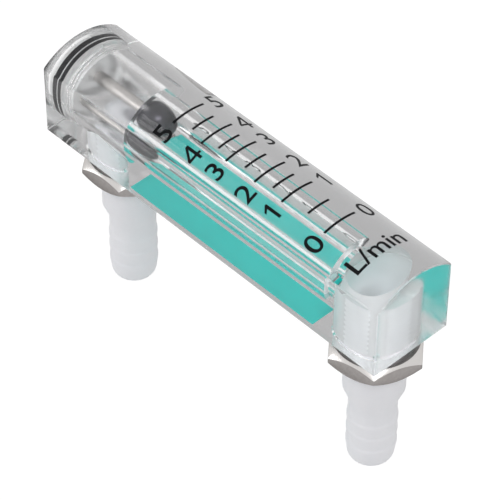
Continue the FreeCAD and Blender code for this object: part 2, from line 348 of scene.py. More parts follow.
@dataclass(frozen=True)
class SkinLook:
    """Look of a moulded, cast or printed skin, whose mottling runs from dark to light.

    Stretch widens the mottling, relief and depth raise the grain, passes lets lamps through,
    and others holds the rest of the surface's inputs.
    """

    grain: float
    smooth: float
    rough: float
    dark: Colour
    light: Colour
    relief: float = 0.0
    depth: float = 0.00002
    stretch: Optional[Pair] = None
    passes: Optional[Colour] = None
    others: Mapping[str, object] = field(default_factory=dict)


SKINS: dict[Slot, SkinLook] = {
    Slot.PLUG: SkinLook(
        grain=1800.0, smooth=0.42, rough=0.60, dark=(0.88, 0.88, 0.88),
        light=(0.97, 0.97, 0.975), relief=0.4, passes=(0.9, 0.9, 0.9),
        others={"IOR": 1.5, "Transmission Weight": 0.84}),
    Slot.SEAL: SkinLook(
        grain=2600.0, smooth=0.35, rough=0.6, dark=(0.008, 0.008, 0.009),
        light=(0.022, 0.022, 0.024), relief=0.5, others={"Specular IOR Level": 0.2}),
    Slot.FLOAT: SkinLook(
        grain=1500.0, smooth=0.26, rough=0.42, dark=(0.006, 0.006, 0.008),
        light=(0.062, 0.060, 0.072), relief=0.3, depth=0.00001, stretch=(-0.9, 1.9),
        others={"Metallic": 0.9, "Specular IOR Level": 0.2, "Specular Tint": (0.5, 0.5, 0.52)}),
    Slot.FITTING: SkinLook(
        grain=1200.0, smooth=0.38, rough=0.52, dark=(0.80, 0.80, 0.835),
        light=(0.86, 0.86, 0.885), relief=0.25,
        others={"Subsurface Weight": 0.35, "Subsurface Radius": (1.0, 0.97, 0.95),
                "Subsurface Scale": 0.002}),
    Slot.BACK_INK: SkinLook(
        grain=3000.0, smooth=0.4, rough=0.55, dark=(0.010, 0.60, 0.55),
        light=(0.022, 0.67, 0.61), others={"Specular IOR Level": 0.0}),
    Slot.SCALE_INK: SkinLook(
        grain=4000.0, smooth=0.3, rough=0.5, dark=(0.004, 0.004, 0.005),
        light=(0.012, 0.012, 0.013), others={"Specular IOR Level": 0.05}),
}


class Finish:
    """A material: its sheet, its surface shader and helpers that the finishes share."""

    def __init__(self, name: str) -> None:
        """Make the material with a plain surface.

        Args:
            name: name of the material.
        """
        self.material = bpy.data.materials.new(name)
        self.material.use_nodes = True
        self.sheet = NodeSheet(self.material.node_tree)
        self.surface = self.sheet.node("ShaderNodeBsdfPrincipled")
        self.output = self.sheet.node("ShaderNodeOutputMaterial",
                                      {"Surface": self.surface.outputs[0]})
        self.place = self.sheet.node("ShaderNodeTexCoord").outputs["Object"]

    def set(self, values: Mapping[str, object]) -> None:
        """Write plain values or sockets into the surface's inputs."""
        for name, value in values.items():
            self.sheet.feed(self.surface.inputs[name], value)

    def group(self, tree: Tree, **values: float) -> bpy.types.NodeOutputs:
        """Place a shared group with this finish's own values and give its outputs."""
        return self.sheet.node("ShaderNodeGroup", {"Place": self.place, **values},
                               node_tree=tree).outputs

    def bump(self, height: Socket, depth: float, strength: float) -> None:
        """Raise the surface by a height.

        Args:
            height: value from 0 to 1.
            depth: height of 1, in metres.
            strength: share of the effect.
        """
        made = self.sheet.node("ShaderNodeBump", {"Distance": depth, "Strength": strength,
                                                  "Height": height})
        self.set({"Normal": made.outputs[0]})

    def let_lamps_through(self, tint: Colour) -> None:
        """Let the lamps reach what lies behind a clear piece.

        Args:
            tint: share of the light that passes.
        """
        path = self.sheet.node("ShaderNodeLightPath")
        open_way = self.sheet.node("ShaderNodeBsdfTransparent", {0: tint})
        mix = self.sheet.node("ShaderNodeMixShader", {
            0: path.outputs["Is Shadow Ray"], 1: self.surface.outputs[0],
            2: open_way.outputs[0]})
        self.sheet.feed(self.output.inputs["Surface"], mix.outputs[0])


class AcrylicFace(Finish):
    """Clear acrylic as one tool or another leaves its face."""

    IOR = 1.49
    HANDLING = 0.04

    def __init__(self, look: AcrylicLook, groups: ShaderGroups) -> None:
        """Make it clear or milky, with the haze of its tool and a trace of handling.

        Args:
            look: what the face looks like.
            groups: shader groups that the finish places.
        """
        super().__init__(look.name)
        skin = self.group(groups.moulded, Grain=look.grain, Smooth=look.smooth,
                          Rough=look.rough)
        marks = self.group(groups.handled, Amount=self.HANDLING)
        haze = self.sheet.sums("ADD", skin["Roughness"], marks["Smear"])
        self.set({"Base Color": look.tone, "IOR": self.IOR, "Transmission Weight": look.clear,
                  "Specular Tint": (look.gleam,) * 3, "Roughness": haze})
        self.let_lamps_through(look.passes)


class SkinFinish(Finish):
    """Mottled skin of a moulded, cast or printed piece."""

    def __init__(self, slot: Slot, groups: ShaderGroups) -> None:
        """Make the material of one slot.

        Args:
            slot: slot whose look is taken and whose name the material bears.
            groups: shader groups that the finish places.
        """
        super().__init__(slot.value)
        look = SKINS[slot]
        skin = self.group(groups.moulded, Grain=look.grain, Smooth=look.smooth,
                          Rough=look.rough)
        share = skin["Mask"]
        if look.stretch:
            share = self.sheet.spread(share, *look.stretch)
        self.set({"Base Color": self.sheet.blend(share, look.dark, look.light),
                  "Roughness": skin["Roughness"], **look.others})
        if look.relief:
            self.bump(skin["Height"], depth=look.depth, strength=look.relief)
        if look.passes:
            self.let_lamps_through(look.passes)


class PinSteel(Finish):
    """Drawn steel of the stop pin."""

    TONE = (0.56, 0.54, 0.525)
    ROUGH = 0.22

    def __init__(self, groups: ShaderGroups) -> None:
        """Make it bright, with drawing lines along its length.

        Args:
            groups: shader groups that the finish places.
        """
        super().__init__(Slot.PIN.value)
        scratch = self.group(groups.handled, Amount=0.5)["Scratch"]
        self.set({"Base Color": self.TONE, "Metallic": 1.0,
                  "Roughness": self.sheet.sums("ADD", scratch, self.ROUGH)})
        self.bump(scratch, depth=0.00001, strength=0.3)


class NutNickel(Finish):
    """Nickel plate of the lock nuts, with a painted highlight on the cones, told by how far their
    faces turn up.
    """

    FLAT_DARK, FLAT_LIGHT = (0.28, 0.262, 0.255), (0.38, 0.36, 0.35)
    # Painted highlight: this lighter colour goes on faces whose upward share lies between these
    # two limits, the cones.
    CONE, CONE_FROM, CONE_TO = (0.63, 0.61, 0.595), 0.3, 0.92
    GLANCE = (0.12, 0.115, 0.11)
    ROUGH = 0.24

    def __init__(self, groups: ShaderGroups) -> None:
        """Make a warm bright metal with fine turning marks and cones painted lighter as a
        highlight, while the sides and the upturned top face keep the darker tone.

        Args:
            groups: shader groups that the finish places.
        """
        super().__init__(Slot.NUT.value)
        sheet = self.sheet
        marks = self.group(groups.machined, Pitch=0.0002)
        worn = self.group(groups.handled, Amount=0.4)
        normal = sheet.node("ShaderNodeTexCoord").outputs["Normal"]
        facing = sheet.node("ShaderNodeSeparateXYZ", {0: normal})
        upright = sheet.sums("ABSOLUTE", facing.outputs[2])
        # Painted highlight: the cones, which face partly up, are lighter than the sides and the
        # top face.
        highlight_share = sheet.sums("MULTIPLY", sheet.sums("GREATER_THAN", upright, self.CONE_FROM),
                          sheet.sums("LESS_THAN", upright, self.CONE_TO))
        flat = sheet.blend(marks["Mask"], self.FLAT_DARK, self.FLAT_LIGHT)
        self.set({"Base Color": sheet.blend(highlight_share, flat, self.CONE), "Metallic": 1.0,
                  "Specular Tint": self.GLANCE,
                  "Roughness": sheet.sums("ADD", worn["Smear"], self.ROUGH)})
        self.bump(marks["Height"], depth=0.000006, strength=0.5)


class Finishes:
    """All the finishes of the flowmeter, by face of the block and by slot of the record."""

    def __init__(self) -> None:
        """Build the shared groups and then each material."""
        groups = ShaderGroups()
        self.acrylic = [AcrylicFace(face.value, groups).material for face in Face]
        self.by_slot = {slot: SkinFinish(slot, groups).material for slot in SKINS}
        self.by_slot[Slot.PIN] = PinSteel(groups).material
        self.by_slot[Slot.NUT] = NutNickel(groups).material


# Mesh work


@dataclass(frozen=True)
class Groove:
    """Helical groove of a tapped hole."""

    low: float
    high: float
    pitch: float
    depth: float

    def depth_at(self, along: float, turn: float) -> float:
        """Depth of the groove at one point of the wall.

        Args:
            along: place along the axis.
            turn: angle about it in radians.

        Returns:
            How much it adds to the radius.
        """
        if not self.low <= along <= self.high:
            return 0.0
        phase = ((along - self.low) / self.pitch - turn / (2 * math.pi)) % 1.0
        run_out = min((along - self.low) / self.pitch, (self.high - along) / self.pitch, 1.0)
        return self.depth * run_out * (1.0 - abs(2.0 * phase - 1.0))

    def rows(self, per_turn: int = 6) -> list[float]:
        """Places along the axis that a profile needs to carry the groove."""
        count = round((self.high - self.low) / self.pitch * per_turn)
        return [self.low + (self.high - self.low) * i / count for i in range(count + 1)]


class Bench:
    """Mesh making that the sub-assemblies share."""

    @staticmethod
    def to_object(name: str, points: Iterable[Triple], faces: Iterable[Sequence[int]]) -> Piece:
        """Make a mesh object from points in millimetres.

        Args:
            name: name of the piece.
            points: corners.
            faces: corner numbers of each face.

        Returns:
            The object, at the origin.
        """
        mesh = bpy.data.meshes.new(name)
        mesh.from_pydata([tuple(c * MM for c in p) for p in points], [], list(faces))
        mesh.update()
        made = bpy.data.objects.new(name, mesh)
        bpy.context.scene.collection.objects.link(made)
        return made

    @staticmethod
    def tidy(piece: Piece, crease: float, turn_out: bool = True) -> Piece:
        """Merge doubles, point faces outwards and shade smooth up to an angle.

        Args:
            piece: mesh object.
            crease: angle in degrees above which an edge stays sharp.
            turn_out: work the normals out again.

        Returns:
            The same object.
        """
        work = bmesh.new()
        work.from_mesh(piece.data)
        bmesh.ops.remove_doubles(work, verts=work.verts, dist=WELD)
        bmesh.ops.dissolve_degenerate(work, edges=work.edges, dist=WELD)
        if turn_out:
            bmesh.ops.recalc_face_normals(work, faces=work.faces)
        for face in work.faces:
            face.smooth = True
        limit = math.radians(crease)
        for edge in work.edges:
            edge.smooth = len(edge.link_faces) == 2 and edge.calc_face_angle(0.0) <= limit
        work.to_mesh(piece.data)
        work.free()
        return piece

    @staticmethod
    def turned(name: str, profile: Sequence[Pair], axis: Axis, centre: Triple, crease: float,
               steps: int = ROUND_STEPS, closed: bool = False,
               groove: Optional[Groove] = None) -> Piece:
        """Spin a profile right round an axis.

        Args:
            name: name of the piece.
            profile: pairs of place along the axis and radius.
            axis: direction of the axis.
            centre: point that the places are measured from.
            crease: angle in degrees above which an edge stays sharp.
            steps: divisions of the circle.
            closed: join the profile's last point to its first.
            groove: thread that is sunk into the profile.

        Returns:
            The tidied object.
        """
        count = len(profile)
        points: list[Triple] = []
        for j in range(steps):
            turn = 2 * math.pi * j / steps
            a, b = math.cos(turn), math.sin(turn)
            for along, radius in profile:
                if groove:
                    radius += groove.depth_at(along, turn)
                local = ((along, radius * a, radius * b) if axis is Axis.ALONG
                         else (radius * a, radius * b, along))
                points.append(tuple(c + d for c, d in zip(centre, local)))
        faces = []
        for j in range(steps):
            k = (j + 1) % steps
            for i in range(count if closed else count - 1):
                n = (i + 1) % count
                faces.append((j * count + i, j * count + n, k * count + n, k * count + i))
        return Bench.tidy(Bench.to_object(name, points, faces), crease)

    @staticmethod
    def prism(name: str, section: Sequence[Pair], ends: Pair, axis: Axis,
              crease: float) -> Piece:
        """Draw a section out along an axis.

        Args:
            name: name of the piece.
            section: corners, as y and z along X or as x and y upright.
            ends: places of the two end faces.
            axis: direction of the drawing.
            crease: angle in degrees above which an edge stays sharp.

        Returns:
            The tidied object.
        """
        count = len(section)
        points = [(end, a, b) if axis is Axis.ALONG else (a, b, end)
                  for end in ends for a, b in section]
        faces = [tuple(range(count)), tuple(reversed(range(count, 2 * count)))]
        faces += [(i, count + i, count + (i + 1) % count, (i + 1) % count)
                  for i in range(count)]
        return Bench.tidy(Bench.to_object(name, points, faces), crease)

    @staticmethod
    def arc(centre: Pair, radius: float, start: float, sweep: float, steps: int) -> list[Pair]:
        """Cut an arc into points.

        Args:
            centre: middle of the arc.
            radius: its radius.
            start: first angle in degrees.
            sweep: angle in degrees that it runs through.
            steps: how many pieces it is cut into.

        Returns:
            Its points, both ends included.
        """
        turns = [math.radians(start + sweep * i / steps) for i in range(steps + 1)]
        return [(centre[0] + radius * math.cos(turn), centre[1] + radius * math.sin(turn))
                for turn in turns]

    @staticmethod
    def hexagon(flats: float, centre: Pair, turn: float = 0.0) -> list[Pair]:
        """Corners of a hexagon of a width across flats, turned by an angle in degrees."""
        return Bench.arc(centre, flats / math.sqrt(3.0), turn, sweep=300.0, steps=5)

    @staticmethod
    def freeze(piece: Piece) -> Piece:
        """Turn what the modifiers give into a plain mesh and drop the modifiers.

        Args:
            piece: object with modifiers.

        Returns:
            The same object.
        """
        graph = bpy.context.evaluated_depsgraph_get()
        mesh = bpy.data.meshes.new_from_object(piece.evaluated_get(graph))
        piece.modifiers.clear()
        piece.data = mesh
        return piece

    @staticmethod
    def bevel(piece: Piece, width: float, segments: int, angle: float) -> Piece:
        """Break the sharp edges of a piece.

        Args:
            piece: closed mesh object.
            width: width of the break in millimetres.
            segments: faces across it.
            angle: angle in degrees above which an edge is broken.

        Returns:
            The same piece.
        """
        edges = piece.modifiers.new("edges", "BEVEL")
        edges.width = width * MM
        edges.segments = segments
        edges.limit_method = "ANGLE"
        edges.angle_limit = math.radians(angle)
        return Bench.freeze(piece)

    @staticmethod
    def cut(piece: Piece, tools: Sequence[Piece], crease: float) -> Piece:
        """Take the tools' shapes out of a piece and remove the tools.

        Args:
            piece: closed mesh object.
            tools: closed mesh objects.
            crease: angle in degrees above which an edge stays sharp.

        Returns:
            The same piece, tidied.
        """
        for tool in tools:
            knife = piece.modifiers.new("cut", "BOOLEAN")
            knife.object = tool
            knife.operation = "DIFFERENCE"
            knife.solver = "EXACT"
        Bench.freeze(piece)
        for tool in tools:
            bpy.data.objects.remove(tool)
        return Bench.tidy(piece, crease)

    @staticmethod
    def dress(piece: Piece, materials: Iterable[Material]) -> None:
        """Give a piece its materials.

        Args:
            piece: mesh object.
            materials: its list of materials, in the order of its faces' numbers.
        """
        piece.data.materials.clear()
        for material in materials:
            piece.data.materials.append(material)

    @staticmethod
    def weld_in(piece: Piece, others: Sequence[Piece]) -> Piece:
        """Add the meshes of others to a piece and remove the others.

        Args:
            piece: object that is kept.
            others: objects whose meshes join it.

        Returns:
            The same piece.
        """
        work = bmesh.new()
        work.from_mesh(piece.data)
        for other in others:
            work.from_mesh(other.data)
            bpy.data.objects.remove(other)
        work.to_mesh(piece.data)
        work.free()
        return piece


# Geometry node trees


class GeometryTree(GroupSheet):
    """A geometry node tree with named inputs, run once on an object and then frozen."""

    def __init__(self, name: str, inputs: Sequence[TreeSocket]) -> None:
        """Open the tree.

        Args:
            name: name of the tree.
            inputs: inputs besides the geometry and the material.
        """
        mesh = TreeSocket("Geometry", "NodeSocketGeometry")
        paint = TreeSocket("Material", "NodeSocketMaterial")
        super().__init__(name, "GeometryNodeTree", [mesh, *inputs, paint], [mesh])

    def close(self, geometry: Socket) -> None:
        """End the tree in Realize Instances and Set Material.

        Args:
            geometry: what the tree has made.
        """
        real = self.node("GeometryNodeRealizeInstances", {0: geometry})
        paint = self.node("GeometryNodeSetMaterial", {
            "Geometry": real.outputs[0], "Material": self.given["Material"]})
        self.give(Geometry=paint.outputs[0])

    def run(self, piece: Piece, crease: float, values: Mapping[str, object]) -> Piece:
        """Run the tree on a piece and freeze the result.

        Args:
            piece: object whose mesh the tree starts from.
            crease: angle in degrees above which an edge stays sharp.
            values: value of each named input, with lengths in metres.

        Returns:
            The same piece with a plain, tidied mesh.
        """
        modifier = piece.modifiers.new("shape", "NODES")
        modifier.node_group = self.tree
        for item in self.tree.interface.items_tree:
            if item.in_out == "INPUT" and item.name in values:
                modifier[item.identifier] = values[item.name]
        return Bench.tidy(Bench.freeze(piece), crease)


@dataclass(frozen=True)
class Thread:
    """Turns of a raised thread: its helix, its ridge and where it starts."""

    radius: float
    pitch: float
    length: float
    ridge: float
    start: Triple
    turned: Triple = (0.0, 0.0, 0.0)
    steps: Optional[int] = None

    @property
    def turns(self) -> float:
        """How many turns it makes."""
        return self.length / self.pitch


class ThreadTree(GeometryTree):
    """Turns of a screw thread about a straight axis."""

    STEPS_PER_TURN = 96
    RIDGE_SIDES = 6

    def __init__(self) -> None:
        """Build a helix with a ridge section swept along it."""
        super().__init__("thread_turns", [
            *(TreeSocket(one) for one in ("Radius", "Pitch", "Turns", "Ridge")),
            TreeSocket("Steps", "NodeSocketInt"), TreeSocket("Turned", "NodeSocketVector"),
            TreeSocket("Start", "NodeSocketVector")])
        given = self.given
        spiral = self.node("GeometryNodeCurveSpiral", {
            "Resolution": given["Steps"], "Rotations": given["Turns"],
            "Start Radius": given["Radius"], "End Radius": given["Radius"],
            "Height": self.sums("MULTIPLY", given["Turns"], given["Pitch"])})
        upright = self.node("GeometryNodeSetCurveNormal", {0: spiral.outputs[0]}, mode="Z_UP")
        section = self.node("GeometryNodeCurvePrimitiveCircle", {
            "Resolution": self.RIDGE_SIDES, "Radius": given["Ridge"]})
        sweep = self.node("GeometryNodeCurveToMesh", {
            "Curve": upright.outputs[0], "Profile Curve": section.outputs[0],
            "Fill Caps": True})
        move = self.node("GeometryNodeTransform", {
            "Geometry": sweep.outputs[0], "Translation": given["Start"],
            "Rotation": given["Turned"]})
        self.close(move.outputs[0])

    def wind(self, thread: Thread, material: Material) -> Piece:
        """Make the turns of one thread.

        Args:
            thread: its measures.
            material: its finish.

        Returns:
            Mesh of the ridge alone.
        """
        steps = thread.steps or int(self.STEPS_PER_TURN * max(thread.turns, 1.0))
        return self.run(Bench.to_object("thread", [(0.0, 0.0, 0.0)], []), THREAD_CREASE, {
            "Radius": thread.radius * MM, "Pitch": thread.pitch * MM, "Turns": thread.turns,
            "Ridge": thread.ridge * MM, "Steps": steps, "Turned": thread.turned,
            "Start": tuple(c * MM for c in thread.start), "Material": material})


class StrokeTree(GeometryTree):
    """Strokes of the scale, long and short by turns, laid over the crowned front."""

    BAR_ROWS = 25

    def __init__(self) -> None:
        """Build flat bars on the marks and bend them over the crown."""
        super().__init__("scale_strokes", [TreeSocket(one) for one in (
            "Long", "Short", "Width", "Ink", "Crown Radius", "Crown Centre", "Sink")])
        given = self.given
        bars = []
        for length in ("Long", "Short"):
            size = self.node("ShaderNodeCombineXYZ", {
                0: given["Width"], 1: given[length], 2: given["Ink"]})
            bars.append(self.node("GeometryNodeMeshCube", {
                "Size": size.outputs[0], "Vertices Y": self.BAR_ROWS}))
        kinds = self.node("GeometryNodeGeometryToInstance")
        for bar in reversed(bars):
            self.feed(kinds.inputs[0], bar.outputs[0])
        index = self.node("GeometryNodeInputIndex")
        bars_on_marks = self.node("GeometryNodeInstanceOnPoints", {
            "Points": given["Geometry"], "Instance": kinds.outputs[0], "Pick Instance": True,
            "Instance Index": self.sums("MODULO", index.outputs[0], 2.0)})
        real = self.node("GeometryNodeRealizeInstances", {0: bars_on_marks.outputs[0]})
        where = self.node("GeometryNodeInputPosition")
        across = self.node("ShaderNodeSeparateXYZ", {0: where.outputs[0]}).outputs[1]
        radius = given["Crown Radius"]
        drop = self.sums("SUBTRACT", self.sums("MULTIPLY", radius, radius),
                         self.sums("MULTIPLY", across, across))
        rise = self.sums("ADD", self.sums("SQRT", drop), given["Crown Centre"])
        lift = self.node("ShaderNodeCombineXYZ", {
            2: self.sums("SUBTRACT", rise, given["Sink"])})
        bend = self.node("GeometryNodeSetPosition", {
            "Geometry": real.outputs[0], "Offset": lift.outputs[0]})
        self.close(bend.outputs[0])


# Sub-assemblies


@dataclass
class BlockSizes:
    """Sizes that the block shares with the pieces in it."""

    plug_end: float = -48.75
    zero_end: float = 43.25
    half_width: float = 9.6
    side_height: float = 16.3
    front_rise: float = 3.5
    edge_break: float = 0.25
    port: float = 34.5
    bore_height: float = 9.9
    seal_radius: float = 6.9
    seal_length: float = 4.2
    chamber_radius: float = 6.2
    chamber_length: float = 22.05
    tube_top_radius: float = 4.35
    tube_seat_radius: float = 4.1
    seat_x: float = 27.5
    seat_dish: float = 0.5
    seat_hole: float = 2.6
    port_radius: float = 5.5
    inlet_depth: float = 12.5
    inlet_point: float = 3.3
    outlet_depth: float = 9.9
    outlet_point: float = 0.4
    mouth: float = 0.5
    tap_pitch: float = 1.25
    tap_depth: float = 0.025
    tap_run_out: float = 0.6
    plug_thread: float = 2.4
    plug_pitch: float = 0.8
    plug_tap_depth: float = 0.22
    shank_to_way: float = 0.25

    @property
    def crown_radius(self) -> float:
        """Radius of the crowned front."""
        return (self.half_width ** 2 + self.front_rise ** 2) / (2 * self.front_rise)

    @property
    def crown_centre(self) -> float:
        """Height of the centre that the crown is struck from."""
        return self.side_height + self.front_rise - self.crown_radius

    @property
    def bore_axis(self) -> Triple:
        """Point on the axis of the bore at the part's origin."""
        return (0.0, 0.0, self.bore_height)

    @property
    def plug_groove(self) -> Groove:
        """Thread tapped into the chamber for the end plug."""
        start = self.plug_end + self.seal_length + self.mouth
        return Groove(start, start + self.plug_thread, self.plug_pitch, self.plug_tap_depth)

    @property
    def tube_top(self) -> float:
        """Place of the step between the chamber and the tapered bore."""
        return self.plug_end + self.chamber_length

    def crown_at(self, across: float) -> float:
        """Height of the front at a distance from the middle."""
        return self.crown_centre + math.sqrt(self.crown_radius ** 2 - across ** 2)


@dataclass
class SubAssembly:
    """What every sub-assembly works with."""

    sizes: BlockSizes
    finishes: Finishes

    def present(self, piece: Piece, body: Body, slot: Slot, *nodes: str) -> None:
        """Dress a piece, ride it on its body and let it stand for its nodes.

        Args:
            piece: finished piece; the block's own faces are dressed before this.
            body: body that carries it.
            slot: slot of the record.
            nodes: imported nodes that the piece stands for.
        """
        if slot in self.finishes.by_slot:
            Bench.dress(piece, [self.finishes.by_slot[slot]])
        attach(piece, body.value)
        if nodes:
            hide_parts(*nodes)
        LOG.info("%s: %d faces, rides on %s", piece.name, len(piece.data.polygons), body.value)


@dataclass
class ClearBlock(SubAssembly):
    """The clear block: crowned slab, stepped bore and two tapped ports."""

    crown_steps: int = 96
    flush: float = 0.02
    ream_slack: float = 0.03
    wall_slack: float = 0.05
    port_slack: float = 0.1

    def _slab(self) -> Piece:
        """Crowned slab with broken edges.

        Returns:
            The slab, uncut.
        """
        s = self.sizes
        spread = math.asin(s.half_width / s.crown_radius)
        section = [(-s.half_width, 0.0), (s.half_width, 0.0)]
        for i in range(self.crown_steps + 1):
            turn = spread - 2 * spread * i / self.crown_steps
            section.append((s.crown_radius * math.sin(turn),
                            s.crown_centre + s.crown_radius * math.cos(turn)))
        slab = Bench.prism("clear_block_visual", section, (s.plug_end, s.zero_end),
                           Axis.ALONG, CUT_CREASE)
        return Bench.bevel(slab, s.edge_break, 1, CUT_CREASE)

    def _bore(self) -> Piece:
        """Shape of the stepped and tapered bore.

        Returns:
            The cutting shape, thread and all.
        """
        s = self.sizes
        profile = [(s.plug_end - OVERRUN, 0.0), (s.plug_end - OVERRUN, s.seal_radius),
                   (s.plug_end + s.seal_length, s.seal_radius)]
        profile += [(row, s.chamber_radius) for row in s.plug_groove.rows()]
        profile += [(s.tube_top, s.chamber_radius), (s.tube_top, s.tube_top_radius),
                    (s.seat_x, s.tube_seat_radius), (s.seat_x + s.seat_dish, s.seat_hole),
                    (s.port, s.seat_hole), (s.port, 0.0)]
        return Bench.turned("bore", profile, Axis.ALONG, s.bore_axis, CUT_CREASE,
                            groove=s.plug_groove)

    def _port(self, place: float, depth: float, point: float) -> Piece:
        """Shape of a tapped port in the back.

        Args:
            place: where it lies along the block.
            depth: depth of its full width.
            point: depth of the drill's point beyond that.

        Returns:
            The cutting shape.
        """
        s = self.sizes
        groove = Groove(s.mouth, depth - s.tap_run_out, s.tap_pitch, s.tap_depth)
        wide = s.port_radius + s.mouth
        profile = [(-OVERRUN, 0.0), (-OVERRUN, wide), (0.0, wide)]
        profile += [(row, s.port_radius) for row in groove.rows()]
        profile += [(depth, s.port_radius), (depth + point, 0.0)]
        return Bench.turned("port", profile, Axis.UPRIGHT, (place, 0.0, 0.0), CUT_CREASE,
                            groove=groove)

    def _finish_of(self, centre: Vector) -> Face:
        """Choose the finish of one face.

        Args:
            centre: middle of the face, in metres.

        Returns:
            Its finish.
        """
        s = self.sizes
        x, y, z = (c / MM for c in centre)
        skin = s.edge_break + self.flush
        if x > s.zero_end - self.flush or x < s.plug_end + self.flush:
            return Face.SAWN
        # Painted shade: the back and the far side get the dark tint.
        if z < self.flush or y > s.half_width - skin:
            return Face.SHADE_TINTED
        if y < skin - s.half_width or x > s.zero_end - skin or z > s.crown_at(y) - skin:
            return Face.POLISHED
        from_bore = math.hypot(y, z - s.bore_height)
        if x < s.plug_groove.high and from_bore > s.chamber_radius - self.wall_slack:
            return Face.CHASED
        if (x < s.tube_top + self.wall_slack
                and abs(from_bore - s.chamber_radius) < self.ream_slack):
            return Face.REAMED
        from_port = math.hypot(abs(x) - s.port, y)
        if (from_port < s.port_radius + s.tap_depth + self.port_slack
                and (x > s.port or from_bore > s.seat_hole + self.wall_slack)):
            inside = from_port < s.port_radius - self.wall_slack
            return Face.DRILLED if inside else Face.TAPPED
        return Face.BORED

    def build(self) -> None:
        """Cut the slab, finish each face and present the block."""
        s = self.sizes
        block = Bench.cut(self._slab(), [
            self._bore(), self._port(s.port, s.inlet_depth, s.inlet_point),
            self._port(-s.port, s.outlet_depth, s.outlet_point)], CUT_CREASE)
        Bench.dress(block, self.finishes.acrylic)
        order = {face: index for index, face in enumerate(Face)}
        for face in block.data.polygons:
            face.material_index = order[self._finish_of(face.center)]
        self.present(block, Body.BLOCK, Slot.ACRYLIC, "clear_block")


@dataclass
class EndPlug(SubAssembly):
    """Plug of the chamber with its seal rings, thread, key socket and stop pin."""

    threads: ThreadTree
    recess: float = 0.3
    length: float = 6.1
    rim_break: float = 0.3
    inner_break: float = 0.15
    play: float = 0.05
    ring_section: float = 1.0
    ring_places: tuple[float, ...] = (1.85, 3.2)
    ring_bands: tuple[float, ...] = (1.15, 0.85)
    ring_press: float = 0.03
    ring_steps: int = 48
    groove_width: float = 1.05
    key_flats: float = 5.0
    key_depth: float = 2.2
    pin_radius: float = 1.5
    pin_root: float = -45.05
    pin_end: float = -29.5
    pin_break: float = 0.3
    pin_steps: int = 64
    pitch: float = 0.8
    ridge: float = 0.12
    ridge_sink: float = 0.03
    thread_start: float = 0.3
    thread_short: float = 0.9
    thread_steps: int = 240

    def _body(self) -> Piece:
        """Turned plug with its grooves, key socket and thread.

        Returns:
            The plug without its rings.
        """
        s = self.sizes
        face, inner = s.plug_end + self.recess, s.plug_end + self.length
        head, shank = s.seal_radius - self.play, s.chamber_radius - self.play
        groove = s.seal_radius - self.ring_section
        profile: list[Pair] = [(face, 0.0), (face, head - self.rim_break),
                               (face + self.rim_break, head)]
        for ring in self.ring_places:
            low = s.plug_end + ring - self.groove_width / 2
            high = low + self.groove_width
            profile += [(low, head), (low, groove), (high, groove), (high, head)]
        step = s.plug_end + s.seal_length - self.play
        profile += [(step, head), (step, shank), (inner - self.inner_break, shank),
                    (inner, shank - self.inner_break), (inner, 0.0)]
        plug = Bench.turned("end_plug_visual", profile, Axis.ALONG, s.bore_axis,
                            MACHINED_CREASE)
        key = Bench.prism("key", Bench.hexagon(self.key_flats, (0.0, s.bore_height)),
                          (face - OVERRUN, face + self.key_depth), Axis.ALONG,
                          MACHINED_CREASE)
        Bench.cut(plug, [key], MACHINED_CREASE)
        thread = Thread(radius=shank - self.ridge_sink, pitch=self.pitch, ridge=self.ridge,
                        length=inner - step - self.thread_short,
                        start=(step + self.thread_start, 0.0, s.bore_height),
                        turned=(0.0, math.pi / 2, 0.0), steps=self.thread_steps)
        ridges = self.threads.wind(thread, self.finishes.by_slot[Slot.PLUG])
        return Bench.weld_in(plug, [ridges])

    def _ring(self, name: str, place: float, band: float) -> Piece:
        """Seal ring, squeezed flat against the bore.

        Args:
            name: name of the piece.
            place: distance from the plug end of the block.
            band: width of the flat that touches the bore.

        Returns:
            The ring.
        """
        s = self.sizes
        half = self.ring_section / 2
        top = half + self.ring_press
        free = math.hypot(top, band / 2)
        middle = s.seal_radius - half
        section = []
        for i in range(self.ring_steps):
            turn = 2 * math.pi * i / self.ring_steps
            rise = min(free * math.sin(turn), top)
            section.append((free * math.cos(turn), middle + max(rise, -half)))
        return Bench.turned(name, section, Axis.ALONG,
                            (s.plug_end + place, 0.0, s.bore_height), ROUND_CREASE,
                            closed=True)

    def _pin(self) -> Piece:
        """Stop pin with a broken tip.

        Returns:
            The pin.
        """
        profile = [(self.pin_root, 0.0), (self.pin_root, self.pin_radius),
                   (self.pin_end - self.pin_break, self.pin_radius),
                   (self.pin_end, self.pin_radius - self.pin_break), (self.pin_end, 0.0)]
        return Bench.turned("stop_pin_visual", profile, Axis.ALONG, self.sizes.bore_axis,
                            MACHINED_CREASE, steps=self.pin_steps)

    def build(self) -> None:
        """Build and present the plug, its rings and its pin."""
        self.present(self._body(), Body.BLOCK, Slot.PLUG, "end_plug")
        for name, place, band in zip(("plug_ring_outer", "plug_ring_inner"),
                                     self.ring_places, self.ring_bands):
            ring = self._ring(f"{name}_visual", place, band)
            self.present(ring, Body.BLOCK, Slot.SEAL, name)
        self.present(self._pin(), Body.BLOCK, Slot.PIN, "stop_pin")


@dataclass
class BallFloat(SubAssembly):
    """Ball that rides in the tapered bore."""

    radius: float = 4.0
    lead: float = 1.3
    rows: int = 48
    steps: int = 96

    def build(self) -> None:
        """Build and present the ball."""
        s = self.sizes
        profile = [(-self.radius * math.cos(math.pi * i / self.rows),
                    self.radius * math.sin(math.pi * i / self.rows))
                   for i in range(self.rows + 1)]
        ball = Bench.turned("float_ball_visual", profile, Axis.ALONG,
                            (s.tube_top + self.lead, 0.0, s.bore_height), ROUND_CREASE,
                            steps=self.steps)
        self.present(ball, Body.FLOAT, Slot.FLOAT, "float_ball")


